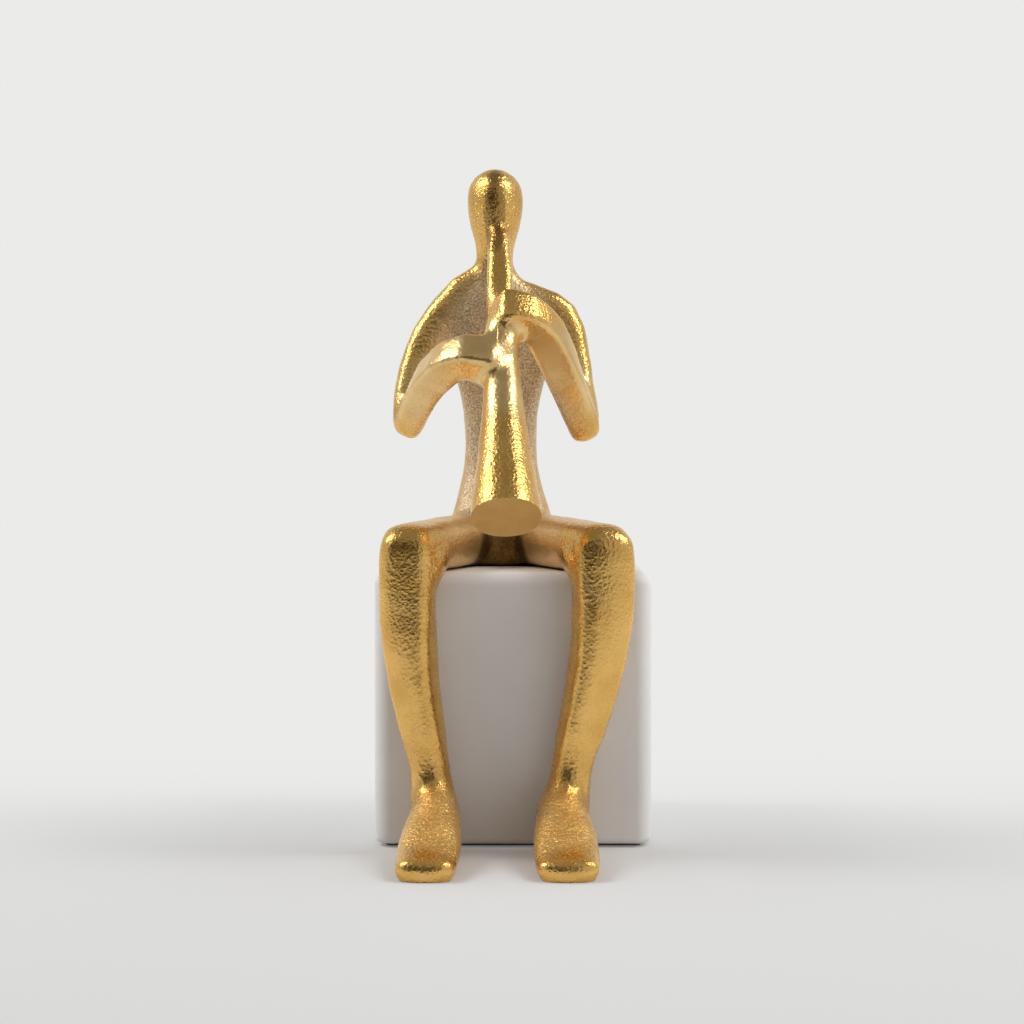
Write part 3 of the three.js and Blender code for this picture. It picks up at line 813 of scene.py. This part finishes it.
def brushed_group():
    """Fine lines along X."""
    nodes, given = new_group("brushed_lines", ["Lines"], ["Height"])
    drawn = nodes.add("ShaderNodeMapping", [("Vector", given["Vector"]), ("Scale", LINE_STRETCH)])
    lines = nodes.noise(drawn.outputs["Vector"], given["Lines"], LINE_DETAIL)["Fac"]
    nodes.add("NodeGroupOutput", [("Height", lines)])
    return nodes.tree


cast_grain = cast_grain_group()
mottle = mottle_group()
brushed = brushed_group()


class Finish(Nodes):
    """A material on object coordinates, with its shader and helpers to feed it."""

    def __init__(self, name):
        self.material = bpy.data.materials.new(name)
        self.material.use_nodes = True
        super().__init__(self.material.node_tree)
        self.shader = self.tree.nodes["Principled BSDF"]
        self.place = self.add("ShaderNodeTexCoord").outputs["Object"]

    def effect(self, group, **values):
        """The outputs of a node group with these values."""
        links = [("Vector", self.place), *values.items()]
        return self.add("ShaderNodeGroup", links, node_tree=group).outputs

    def set(self, **values):
        """Puts plain values on the shader's own sockets."""
        for name, value in values.items():
            self.shader.inputs[name.replace("_", " ")].default_value = value

    def feed(self, name, source):
        self.tree.links.new(source, self.shader.inputs[name])

    def egg(self, middle, size):
        """A mask that is full inside an egg shape and fades out past it."""
        links = [("Vector", self.place), ("Location", middle), ("Scale", size)]
        inside = self.add("ShaderNodeMapping", links, vector_type="TEXTURE").outputs["Vector"]
        reach = self.add("ShaderNodeVectorMath", [(0, inside)], operation="LENGTH").outputs["Value"]
        return self.fade(reach, EGG_FADE)

    def bump(self, height, strength, distance):
        links = [("Height", height), ("Strength", strength), ("Distance", distance)]
        self.feed("Normal", self.add("ShaderNodeBump", links).outputs["Normal"])


def cast_gold():
    """Rubbed gold in matte, satin, smooth and grainy zones, with painted shade and painted dark and pale
    reflections.
    """
    finish = Finish("cast_gold")
    low, high = (np.array(corner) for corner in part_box("head"))
    middle = (low + high) / 2
    head = finish.egg(middle, (high - low) / 2)
    # Painted dark reflection down the middle of the face
    face = finish.egg((middle[0], low[1], middle[2]), FACE_SHARES * (high - low))
    forearms = finish.egg(*FOREARMS)
    feet = finish.egg(*FEET)
    lap = finish.calculate("MULTIPLY", finish.egg(*LAP), LAP_MATTE)
    matte = finish.calculate("MAXIMUM", finish.egg(*CHEST), lap)
    shade = finish.calculate("MULTIPLY", face, FACE_SHADE)
    # Painted shade in the hollow, joined to the painted dark reflection down the face
    dark = finish.calculate("MAXIMUM", finish.egg(*HOLLOW), shade)

    tone = finish.effect(mottle, Scale=GOLD_CLOUDS)["Share"]
    specks = finish.effect(mottle, Scale=GOLD_SPECKS)["Share"]
    # The forearms take the paler gold, a painted reflection of the pale floor
    bright = finish.mix(forearms, finish.blend(tone, *RICH_GOLD), finish.blend(tone, *PALE_GOLD))
    worn = finish.mix(matte, bright, finish.blend(specks, *DULL_GOLD))
    # The painted shade and the painted dark reflection, in a brown over the gold
    finish.feed("Base Color", finish.mix(dark, worn, finish.blend(specks, *PAINTED_SHADE)))

    grain = finish.effect(cast_grain, Pebbles=GOLD_PEBBLES, Sand=GOLD_SAND)
    gloss = finish.between(grain["Tops"], *GLOSS_ROUGHNESS)
    satin = finish.between(forearms, gloss, SATIN_ROUGHNESS)
    finish.feed("Roughness", finish.between(matte, satin, MATTE_ROUGHNESS))
    finish.feed("Metallic", finish.between(finish.calculate("MAXIMUM", matte, feet), *GOLD_METALLIC))

    even = finish.calculate("MAXIMUM", finish.egg(*SHINS), forearms)
    grainy = finish.calculate("MAXIMUM", head, feet)
    relief = finish.calculate(
        "MULTIPLY", finish.between(even, *SMOOTH_RELIEF), finish.between(grainy, *GRAINY_RELIEF)
    )
    finish.bump(finish.calculate("MULTIPLY", grain["Height"], relief), *GOLD_BUMP)
    return finish.material


def cut_gold():
    """The sawn and brushed flat end of the bell."""
    finish = Finish("cut_gold")
    finish.set(Metallic=1.0)
    tone = finish.effect(mottle, Scale=SAWN_CLOUDS)["Share"]
    lines = finish.effect(brushed, Lines=SAWN_LINES)["Height"]
    finish.feed("Base Color", finish.blend(tone, *SAWN_GOLD))
    finish.feed("Roughness", finish.between(lines, *SAWN_ROUGHNESS))
    finish.bump(lines, *SAWN_BUMP)
    return finish.material


def white_paint():
    """Sprayed paint with a fine peel."""
    finish = Finish("white_paint")
    tone = finish.effect(mottle, Scale=PAINT_CLOUDS)["Share"]
    peel = finish.noise(finish.place, PEEL_SCALE, PEEL_DETAIL)["Fac"]
    finish.feed("Base Color", finish.blend(tone, *PAINT_WHITE))
    finish.feed("Roughness", finish.between(peel, *PAINT_ROUGHNESS))
    finish.bump(peel, *PAINT_BUMP)
    return finish.material


def pressed_felt():
    """Dark felt with its fibres."""
    finish = Finish("pressed_felt")
    finish.set(Roughness=FELT_ROUGHNESS, Sheen_Weight=FELT_SHEEN)
    tone = finish.effect(mottle, Scale=FELT_CLOUDS)["Share"]
    fibres = finish.noise(finish.place, FIBRE_SCALE, FIBRE_DETAIL)["Fac"]
    finish.feed("Base Color", finish.blend(tone, *FELT_GREY))
    finish.bump(fibres, *FELT_BUMP)
    return finish.material


def bright_steel():
    """Steel with fine drawn lines."""
    finish = Finish("bright_steel")
    finish.set(Metallic=1.0)
    tone = finish.effect(mottle, Scale=STEEL_CLOUDS)["Share"]
    lines = finish.effect(brushed, Lines=STEEL_LINES)["Height"]
    finish.feed("Base Color", finish.blend(tone, *STEEL_GREY))
    finish.feed("Roughness", finish.between(lines, *STEEL_ROUGHNESS))
    finish.bump(lines, *STEEL_BUMP)
    return finish.material


# Studio
def camera():
    data = bpy.data.cameras.new("camera")
    data.lens = CAMERA_LENS
    data.sensor_width = SENSOR_WIDTH
    data.clip_start = CLIP_START
    obj = new_object("camera", data)
    obj.location = CAMERA_PLACE
    obj.rotation_euler = (math.pi / 2 - CAMERA_PITCH, 0, 0)
    bpy.context.scene.camera = obj


def softbox(name, place, size, brightness):
    """An area lamp that looks this bright and points at the figure."""
    data = bpy.data.lights.new(name, "AREA")
    data.shape = "RECTANGLE"
    data.size, data.size_y = size
    data.energy = brightness * math.pi * size[0] * size[1]
    obj = new_object(name, data)
    obj.location = place
    obj.rotation_euler = (AIM - Vector(place)).to_track_quat("-Z", "Y").to_euler()


def dark_card():
    """A curved dark card behind the camera, which the metal mirrors and the camera doesn't see."""
    bpy.ops.object.select_all(action="DESELECT")
    bpy.ops.mesh.primitive_uv_sphere_add(segments=CARD_SEGMENTS, ring_count=CARD_RINGS, radius=CARD_RADIUS)
    obj = bpy.context.object
    obj.name = "dark_card"
    for outward in (CARD_LEFT, CARD_RIGHT, -UP):
        trim(obj, ORIGIN, outward, close=False)
    trim(obj, UP * CARD_TOP, UP, close=False)
    finish = Finish("dark_card")
    finish.set(Base_Color=opaque(CARD_GREY), Roughness=1.0, Specular_IOR_Level=0.0)
    obj.data.materials.append(finish.material)
    obj.visible_camera = False


def background_share(nodes):
    """Full for a ray from the camera, and for one mirrored or let through by a piece."""
    path = nodes.add("ShaderNodeLightPath").outputs
    mirrored = nodes.calculate("MAXIMUM", path["Is Glossy Ray"], path["Is Transmission Ray"])
    return nodes.calculate("MAXIMUM", path["Is Camera Ray"], mirrored)


def floor():
    """A paper floor that takes shadows near the object and goes over into the background."""
    bpy.ops.object.select_all(action="DESELECT")
    bpy.ops.mesh.primitive_circle_add(
        vertices=FLOOR_SIDES, radius=FLOOR_RADIUS, fill_type="NGON", location=-UP * FLOOR_SINK
    )
    obj = bpy.context.object
    obj.name = "floor"
    finish = Finish("paper_floor")
    finish.set(Base_Color=opaque(FLOOR_GREY))
    finish.set(Roughness=FLOOR_ROUGHNESS, Specular_IOR_Level=FLOOR_SPECULAR)
    depth = finish.add("ShaderNodeSeparateXYZ", [("Vector", finish.place)]).outputs["Y"]
    share = finish.calculate("MULTIPLY", finish.fade(depth, FLOOR_FADE), background_share(finish))
    glow = finish.add("ShaderNodeEmission", [("Color", opaque(PALE))]).outputs["Emission"]
    mixed = finish.mix_shaders(share, finish.shader.outputs["BSDF"], glow)
    finish.tree.links.new(mixed, finish.tree.nodes["Material Output"].inputs["Surface"])
    obj.data.materials.append(finish.material)


def world():
    """A room that lights the object, most from the sides, and shows as the pale background."""
    scene = bpy.context.scene
    if scene.world is None:
        scene.world = bpy.data.worlds.new("studio")
    scene.world.use_nodes = True
    nodes = Nodes(scene.world.node_tree)
    nodes.tree.nodes.clear()
    direction = nodes.add("ShaderNodeTexCoord").outputs["Generated"]
    parts = nodes.add("ShaderNodeSeparateXYZ", [("Vector", direction)]).outputs
    light = nodes.between(nodes.calculate("ABSOLUTE", parts["X"]), *ROOM_LIGHT)
    room = nodes.add("ShaderNodeBackground", [("Color", opaque(ROOM_WHITE)), ("Strength", light)])
    walls = nodes.blend(nodes.fade(parts["Y"], BACKDROP_EDGE), WALL_GREY, PALE)
    surround = nodes.mix(nodes.fade(parts["Z"], CEILING_RISE), walls, opaque(CEILING_GREY))
    seen = nodes.add("ShaderNodeBackground", [("Color", surround)])
    mixed = nodes.mix_shaders(
        background_share(nodes), room.outputs["Background"], seen.outputs["Background"]
    )
    nodes.add("ShaderNodeOutputWorld", [("Surface", mixed)])


# Putting it together
def paint(obj, material):
    obj.data.materials.clear()
    obj.data.materials.append(material)


def dress(obj, material, nodes):
    """Gives a piece its finish and its place in the frame."""
    paint(obj, material)
    pick(obj)
    bpy.ops.object.shade_smooth_by_angle(angle=CREASE_ANGLE)
    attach(obj, "root")
    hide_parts(*nodes)
    return obj


def face_bell(horn, material):
    """Gives the flat end of the horn its own finish."""
    horn.data.materials.append(material)
    for face in horn.data.polygons:
        if on_bell(np.array(face.center)):
            face.material_index = 1
            face.use_smooth = False


gold = cast_gold()
pieces = castings()
for name, piece in pieces.items():
    dress(piece, gold, [name])
face_bell(pieces["horn"], cut_gold())
dress(block(), white_paint(), ["seat_block"])
sheet = dress(felt(), pressed_felt(), ["base_felt"])
steel = bright_steel()
for name in DOWELS + ROD_NODES:
    paint(frame["nodes"][name], steel)

camera()
floor()
world()
dark_card()
for name, lamp in SOFTBOXES.items():
    softbox(name, **lamp)
bpy.context.scene.view_settings.view_transform = "Standard"
